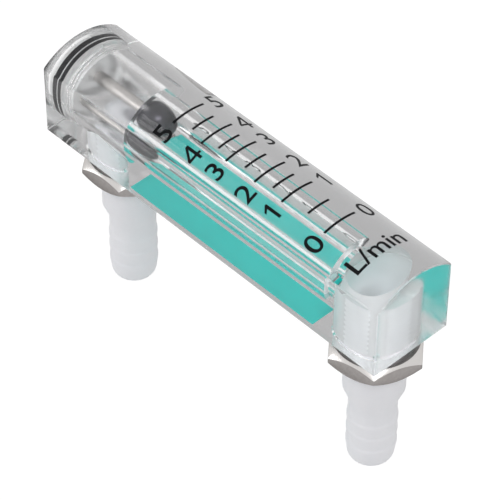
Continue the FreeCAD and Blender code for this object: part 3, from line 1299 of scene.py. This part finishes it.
@dataclass
class HoseFitting(SubAssembly):
    """White fitting with a threaded shank, a cone and a barbed spigot."""

    threads: ThreadTree
    name: str
    place: float
    way_radius: float
    gas_bore: float = 2.5
    play: float = 0.05
    shank_radius: float = 6.1
    shank_break: float = 0.1
    shank_depth: float = 15.4
    neck_depth: float = 18.8
    neck_radius: float = 4.8
    crest_radius: float = 5.0
    crest_land: float = 0.7
    crest_slope: float = 0.9
    crest_pitch: float = 3.5
    crest_steps: int = 4
    crests: int = 3
    last_crest: float = 4.9
    depth: float = 35.5
    tip_radius: float = 4.7
    tip_round: float = 1.9
    tip_steps: int = 10
    pitch: float = 1.25
    ridge: float = 0.17
    ridge_sink: float = 0.12
    ridge_start: float = -7.8
    ridge_length: float = 7.3
    fine_ridge: float = 0.08
    fine_sink: float = 0.05
    fine_start: float = 0.3
    fine_short: float = 0.8
    crease: float = 50.0

    @property
    def insert(self) -> float:
        """Reach of the shank into the block, up to the gas way."""
        return self.sizes.bore_height - self.way_radius - self.sizes.shank_to_way

    @property
    def core(self) -> float:
        """Radius of the shank inside the port."""
        return self.sizes.port_radius - self.play

    def _profile(self) -> list[Pair]:
        """Outline from the inner end, down the outside and back up the gas bore.

        Returns:
            Pairs of height and radius.
        """
        mouth, edge = self.sizes.mouth, self.shank_break
        outline: list[Pair] = [
            (self.insert, self.gas_bore), (self.insert, self.core - mouth),
            (self.insert - mouth, self.core), (-self.play, self.core),
            (-self.play, self.shank_radius - edge), (-self.play - edge, self.shank_radius),
            (-self.shank_depth, self.shank_radius), (-self.neck_depth, self.neck_radius)]
        rise = self.crest_radius - self.neck_radius
        for ring in reversed(range(self.crests)):
            crest = self.depth - self.last_crest - self.crest_pitch * ring
            for i in range(self.crest_steps + 1):
                share = i / self.crest_steps
                swell = 0.5 - 0.5 * math.cos(math.pi * share)
                outline.append((self.crest_slope * (1 - share) - crest,
                                self.neck_radius + rise * swell))
            outline.append((-crest - self.crest_land, self.crest_radius))
        for i in range(self.tip_steps + 1):
            turn = math.radians(90.0 * i / self.tip_steps)
            outline.append((-self.depth + self.tip_round * (1 - math.sin(turn)),
                            self.tip_radius - self.tip_round * (1 - math.cos(turn))))
        outline.append((-self.depth, self.gas_bore))
        return outline

    def build(self) -> None:
        """Build and present the fitting."""
        body = Bench.turned(f"{self.name}_visual", self._profile(), Axis.UPRIGHT,
                            (self.place, 0.0, 0.0), self.crease, closed=True)
        outer = Thread(radius=self.shank_radius - self.ridge_sink, pitch=self.pitch,
                       length=self.ridge_length, ridge=self.ridge,
                       start=(self.place, 0.0, self.ridge_start))
        inner = Thread(radius=self.core - self.fine_sink, pitch=self.pitch,
                       length=self.insert - self.fine_short, ridge=self.fine_ridge,
                       start=(self.place, 0.0, self.fine_start))
        ridges = [self.threads.wind(thread, self.finishes.by_slot[Slot.FITTING])
                  for thread in (outer, inner)]
        self.present(Bench.weld_in(body, ridges), Body.BLOCK, Slot.FITTING, self.name)


@dataclass
class LockNut(SubAssembly):
    """Thin hexagon nut, coned on both faces."""

    name: str
    place: float
    turn: float
    body: Body
    flats: float = 17.6
    thickness: float = 4.25
    gap: float = 2.65
    face_radius: float = 8.3
    cone_slope: float = 0.85
    bore: float = 6.2
    bore_break: float = 0.4
    edge_round: float = 0.12
    edge_segments: int = 2
    cone_crease: float = 22.0
    edge_angle: float = 24.0
    crease: float = 30.0

    def _tool(self, profile: Sequence[Pair], closed: bool) -> Piece:
        """Turn a cutting shape about the nut's own axis."""
        return Bench.turned("tool", profile, Axis.UPRIGHT, (self.place, 0.0, 0.0),
                            MACHINED_CREASE, closed=closed)

    def build(self) -> None:
        """Build and present the nut."""
        top, bottom = -self.gap, -self.gap - self.thickness
        nut = Bench.prism(f"{self.name}_visual",
                          Bench.hexagon(self.flats, (self.place, 0.0), self.turn),
                          (bottom, top), Axis.UPRIGHT, MACHINED_CREASE)
        wide = self.flats / math.sqrt(3.0) + OVERRUN
        drop = (wide - self.face_radius) * self.cone_slope
        tools = []
        for face, inward, side in ((top, -drop, OVERRUN), (bottom, drop, -OVERRUN)):
            tools.append(self._tool([
                (face + side, self.face_radius), (face, self.face_radius),
                (face + inward, wide), (face + inward, wide + OVERRUN),
                (face + side, wide + OVERRUN)], True))
        out = self.bore + self.bore_break + OVERRUN
        tools.append(self._tool([
            (bottom - OVERRUN, 0.0), (bottom - OVERRUN, out),
            (bottom + self.bore_break, self.bore), (top - self.bore_break, self.bore),
            (top + OVERRUN, out), (top + OVERRUN, 0.0)], False))
        Bench.cut(nut, tools, self.cone_crease)
        Bench.bevel(nut, self.edge_round, self.edge_segments, self.edge_angle)
        Bench.tidy(nut, self.crease, turn_out=False)
        self.present(nut, self.body, Slot.NUT, self.name)


@dataclass
class BackPrint(SubAssembly):
    """Field of ink behind the tube, keyed into the block's back."""

    low: float = -24.9
    high: float = 25.9
    half_width: float = 6.8
    thickness: float = 0.08
    key: float = 0.03
    corner: float = 0.25
    corner_steps: int = 6

    def build(self) -> None:
        """Build and present the printed field."""
        outline: list[Pair] = []
        for sx, sy, start in ((1, 1, 0), (-1, 1, 90), (-1, -1, 180), (1, -1, 270)):
            centre = ((self.high if sx > 0 else self.low) - sx * self.corner,
                      sy * (self.half_width - self.corner))
            outline += Bench.arc(centre, self.corner, start, 90, self.corner_steps)
        film = Bench.prism("back_print_visual", outline, (-self.thickness, self.key),
                           Axis.UPRIGHT, PRINT_CREASE)
        self.present(film, Body.BLOCK, Slot.BACK_INK, "back_print")


@dataclass(frozen=True)
class Figure:
    """A printed numeral or word: what it says, where its middle lies and how tall it is."""

    name: str
    text: str
    along: float
    across: float
    height: float
    width: float = 1.0
    weight: float = 0.0


@dataclass
class PrintedScale(SubAssembly):
    """Strokes, numerals and unit printed on the crowned front."""

    strokes: StrokeTree
    zero: float = 23.8
    marks: tuple[float, ...] = (0.0, 5.5, 11.2, 14.8, 18.5, 22.3, 26.3, 29.6, 33.0, 36.8, 40.9)
    long: float = 7.9
    short: float = 5.4
    width: float = 0.5
    ink: float = 0.05
    sink: float = -0.003
    near: float = -6.6
    far: float = 6.7
    near_weight: float = 0.007
    numeral_height: float = 4.15
    numeral_places: tuple[float, ...] = (23.8, 12.6, 5.6, -2.6, -9.0, -17.0)
    unit_place: float = 33.2
    unit_middle: float = 0.0
    unit_height: float = 3.8
    unit_width: float = 1.14
    unit_weight: float = 0.008
    slice_step: float = 0.4
    stroke: float = 0.085
    cap_height: float = 0.716
    font_steps: int = 8
    flat_weld: float = 1e-5

    def _outlines(self, text: str, weight: float) -> list[list[Pair]]:
        """Own outlines of the figures that the built-in font draws poorly.

        Args:
            text: what is printed.
            weight: how much each side of a stroke is widened.

        Returns:
            Closed outlines in the font's units, holes last, or none where the font does.
        """
        pen, cap = self.stroke + 2 * weight, self.cap_height
        if text == "1":
            return [[(0.37, 0.0), (0.37 - pen, 0.0), (0.37 - pen, 0.56), (0.13, 0.44),
                     (0.13, 0.44 + pen), (0.37 - 0.65 * pen, cap), (0.37, cap)]]
        if text == "4":
            low, high, stem = 0.165, 0.165 + 0.95 * pen, 0.41 - pen
            return [[(stem, 0.0), (stem, low), (0.01, low), (0.01, high), (stem - 0.01, cap),
                     (0.41, cap), (0.41, high), (0.51, high), (0.51, low), (0.41, low),
                     (0.41, 0.0)],
                    [(stem, high), (stem, 0.57), (0.01 + 1.05 * pen, high)]]
        return []

    def _flat(self, figure: Figure) -> bpy.types.Mesh:
        """Draw a figure flat, in the font's own units.

        Args:
            figure: what to print.

        Returns:
            Its filled mesh.
        """
        outlines = self._outlines(figure.text, figure.weight)
        curve = bpy.data.curves.new("figure", "CURVE" if outlines else "FONT")
        if outlines:
            curve.dimensions = "2D"
            curve.fill_mode = "BOTH"
            for outline in outlines:
                line = curve.splines.new("POLY")
                line.points.add(len(outline) - 1)
                for point, (x, y) in zip(line.points, outline):
                    point.co = (x, y, 0.0, 1.0)
                line.use_cyclic_u = True
        else:
            curve.body = figure.text
            curve.resolution_u = self.font_steps
            curve.offset = figure.weight
        source = bpy.data.objects.new("figure", curve)
        bpy.context.scene.collection.objects.link(source)
        bpy.context.view_layer.update()
        graph = bpy.context.evaluated_depsgraph_get()
        mesh = bpy.data.meshes.new_from_object(source.evaluated_get(graph))
        bpy.data.objects.remove(source)
        return mesh

    def _strokes(self) -> Piece:
        """Strokes of the scale.

        Returns:
            All the strokes as one thin mesh.
        """
        s = self.sizes
        lengths = {"Long": self.long, "Short": self.short, "Width": self.width,
                   "Ink": self.ink, "Crown Radius": s.crown_radius,
                   "Crown Centre": s.crown_centre, "Sink": self.sink - self.ink / 2}
        points = [(self.zero - mark, 0.0, 0.0) for mark in self.marks]
        return self.strokes.run(
            Bench.to_object("scale_strokes_visual", points, []), PRINT_CREASE,
            {"Material": self.finishes.by_slot[Slot.SCALE_INK],
             **{name: length * MM for name, length in lengths.items()}})

    def _figure(self, figure: Figure) -> Piece:
        """Lay one word over the crown.

        Args:
            figure: what to print and where.

        Returns:
            Thin mesh that follows the front.
        """
        s = self.sizes
        mesh = self._flat(figure)
        work = bmesh.new()
        work.from_mesh(mesh)
        bpy.data.meshes.remove(mesh)
        xs = [v.co.x for v in work.verts]
        ys = [v.co.y for v in work.verts]
        scale = figure.height / (max(ys) - min(ys))
        mid_x, mid_y = (max(xs) + min(xs)) / 2, (max(ys) + min(ys)) / 2
        for v in work.verts:
            across = figure.across + (v.co.x - mid_x) * scale * figure.width
            along = figure.along - (v.co.y - mid_y) * scale
            v.co = Vector((along, across, 0.0))
        bmesh.ops.remove_doubles(work, verts=work.verts, dist=self.flat_weld)
        reach = int(s.half_width / self.slice_step)
        for i in range(-reach, reach + 1):
            everything = work.verts[:] + work.edges[:] + work.faces[:]
            bmesh.ops.bisect_plane(work, geom=everything, plane_no=(0.0, 1.0, 0.0),
                                   plane_co=(0.0, i * self.slice_step, 0.0))
        bmesh.ops.recalc_face_normals(work, faces=work.faces)
        flat = work.faces[:]
        if flat and flat[0].normal.z < 0:
            bmesh.ops.reverse_faces(work, faces=flat)
        raised = bmesh.ops.extrude_face_region(work, geom=flat)
        for v in (g for g in raised["geom"] if isinstance(g, bmesh.types.BMVert)):
            v.co.z += self.ink
        bmesh.ops.recalc_face_normals(work, faces=work.faces)
        for v in work.verts:
            v.co.z += s.crown_at(v.co.y) - self.sink
            v.co *= MM
        made = bpy.data.meshes.new(figure.name)
        work.to_mesh(made)
        work.free()
        piece = bpy.data.objects.new(figure.name, made)
        bpy.context.scene.collection.objects.link(piece)
        return Bench.tidy(piece, PRINT_CREASE)

    def build(self) -> None:
        """Build and present the strokes and the figures."""
        self.present(self._strokes(), Body.BLOCK, Slot.SCALE_INK, "scale_strokes")
        figures = [Figure(f"numeral_{side}_{i}", str(i), place, across, self.numeral_height,
                          weight=weight)
                   for i, place in enumerate(self.numeral_places)
                   for side, across, weight in (("near", self.near, self.near_weight),
                                                ("far", self.far, 0.0))]
        figures.append(Figure("unit_litres_per_minute", "L/min", self.unit_place,
                              self.unit_middle, self.unit_height, self.unit_width,
                              self.unit_weight))
        for figure in figures:
            self.present(self._figure(figure), Body.BLOCK, Slot.SCALE_INK)


# Studio


@dataclass(frozen=True)
class Lamp:
    """A white area lamp: where it stands, where it points, its size and its power."""

    name: str
    place: Triple
    aim: Triple
    width: float
    height: float
    watts: float


@dataclass
class Studio:
    """Pale floor, soft lamps, sky and the camera at the photograph's angle."""

    eye: Triple = (268.7, -257.2, 365.7)
    aim: Triple = (3.74, -3.42, 0.0)
    roll: float = 0.424
    lens: float = 195.2
    sensor: float = 36.0
    clip: Pair = (0.01, 20.0)
    floor_height: float = -35.5
    floor_reach: float = 4000.0
    paper: float = 0.8
    seen_paper: float = 0.16
    seen_glow: float = 0.92
    sky: float = 0.60
    bounces: Mapping[str, int] = field(default_factory=lambda: {
        "max_bounces": 24, "transmission_bounces": 24, "glossy_bounces": 12,
        "diffuse_bounces": 4, "transparent_max_bounces": 16})
    lamps: tuple[Lamp, ...] = (
        Lamp("lamp_key", place=(420.0, -330.0, 620.0), aim=(0.0, 0.0, 0.0),
             width=260.0, height=260.0, watts=1.75),
        Lamp("lamp_left", place=(-525.0, -530.0, 205.0), aim=(0.0, 0.0, 30.0),
             width=250.0, height=340.0, watts=0.85))

    @staticmethod
    def _stand(name: str, data: bpy.types.ID, place: Triple, aim: Triple) -> Piece:
        """Stand a camera or a lamp at a place and turn it to a point.

        Args:
            name: name of the object.
            data: the camera or the lamp.
            place: where it stands.
            aim: what it looks at.

        Returns:
            The object.
        """
        made = bpy.data.objects.new(name, data)
        bpy.context.scene.collection.objects.link(made)
        start, end = Vector(place) * MM, Vector(aim) * MM
        turn = (end - start).to_track_quat("-Z", "Y")
        made.matrix_world = Matrix.Translation(start) @ turn.to_matrix().to_4x4()
        return made

    def _camera(self) -> None:
        """Camera at the photograph's place."""
        data = bpy.data.cameras.new("camera")
        data.lens = self.lens
        data.sensor_width = self.sensor
        data.clip_start, data.clip_end = self.clip
        camera = self._stand("camera", data, self.eye, self.aim)
        camera.matrix_world = (camera.matrix_world
                               @ Matrix.Rotation(math.radians(self.roll), 4, "Z"))
        bpy.context.scene.camera = camera

    def _floor(self) -> None:
        """Floor that shows white and keeps a soft shadow."""
        r, z = self.floor_reach, self.floor_height
        floor = Bench.to_object("floor", [(-r, -r, z), (r, -r, z), (r, r, z), (-r, r, z)],
                                [(0, 1, 2, 3)])
        material = bpy.data.materials.new("floor_paper")
        material.use_nodes = True
        sheet = NodeSheet(material.node_tree)
        seen = sheet.seen()
        paper, faint = (sheet.node("ShaderNodeBsdfDiffuse", {0: (grey,) * 3}).outputs[0]
                        for grey in (self.paper, self.seen_paper))
        glow = sheet.node("ShaderNodeEmission", {
            "Strength": sheet.sums("MULTIPLY", seen, self.seen_glow)})
        add = sheet.node("ShaderNodeAddShader", {0: glow.outputs[0], 1: faint})
        mix = sheet.node("ShaderNodeMixShader", {0: seen, 1: paper, 2: add.outputs[0]})
        sheet.node("ShaderNodeOutputMaterial", {"Surface": mix.outputs[0]})
        Bench.dress(floor, [material])

    def _sky(self) -> None:
        """Even sky that the camera sees as white."""
        world = bpy.data.worlds.new("studio")
        bpy.context.scene.world = world
        world.use_nodes = True
        sheet = NodeSheet(world.node_tree)
        plain = sheet.node("ShaderNodeBackground", {
            0: (1.0, 1.0, 1.0), "Strength": sheet.spread(sheet.seen(), self.sky, 1.0)})
        sheet.node("ShaderNodeOutputWorld", {"Surface": plain.outputs[0]})

    def _lamp(self, lamp: Lamp) -> None:
        """Place one area lamp.

        Args:
            lamp: where it stands and how strong it is.
        """
        data = bpy.data.lights.new(lamp.name, "AREA")
        data.shape = "RECTANGLE"
        data.size = lamp.width * MM
        data.size_y = lamp.height * MM
        data.energy = lamp.watts
        self._stand(lamp.name, data, lamp.place, lamp.aim)

    def build(self) -> None:
        """Set up the camera, floor, sky, lamps and the light's bounces."""
        scene = bpy.context.scene
        scene.view_settings.view_transform = "Standard"
        for name, count in self.bounces.items():
            setattr(scene.cycles, name, count)
        self._camera()
        self._floor()
        self._sky()
        for lamp in self.lamps:
            self._lamp(lamp)


def main() -> None:
    """Load the frame and build the flowmeter and its studio."""
    logging.basicConfig(level=logging.INFO, format="%(name)s: %(message)s")
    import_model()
    sizes, finishes, threads = BlockSizes(), Finishes(), ThreadTree()
    ClearBlock(sizes, finishes).build()
    EndPlug(sizes, finishes, threads).build()
    BallFloat(sizes, finishes).build()
    for name, place, way in (("inlet_fitting", sizes.port, sizes.seat_hole),
                             ("outlet_fitting", -sizes.port, sizes.chamber_radius)):
        HoseFitting(sizes, finishes, threads, name, place, way).build()
    LockNut(sizes, finishes, "inlet_lock_nut", place=sizes.port, turn=12.0,
            body=Body.INLET_NUT).build()
    LockNut(sizes, finishes, "outlet_lock_nut", place=-sizes.port, turn=5.0,
            body=Body.OUTLET_NUT).build()
    BackPrint(sizes, finishes).build()
    PrintedScale(sizes, finishes, StrokeTree()).build()
    Studio().build()


if __name__ == "__main__":
    main()
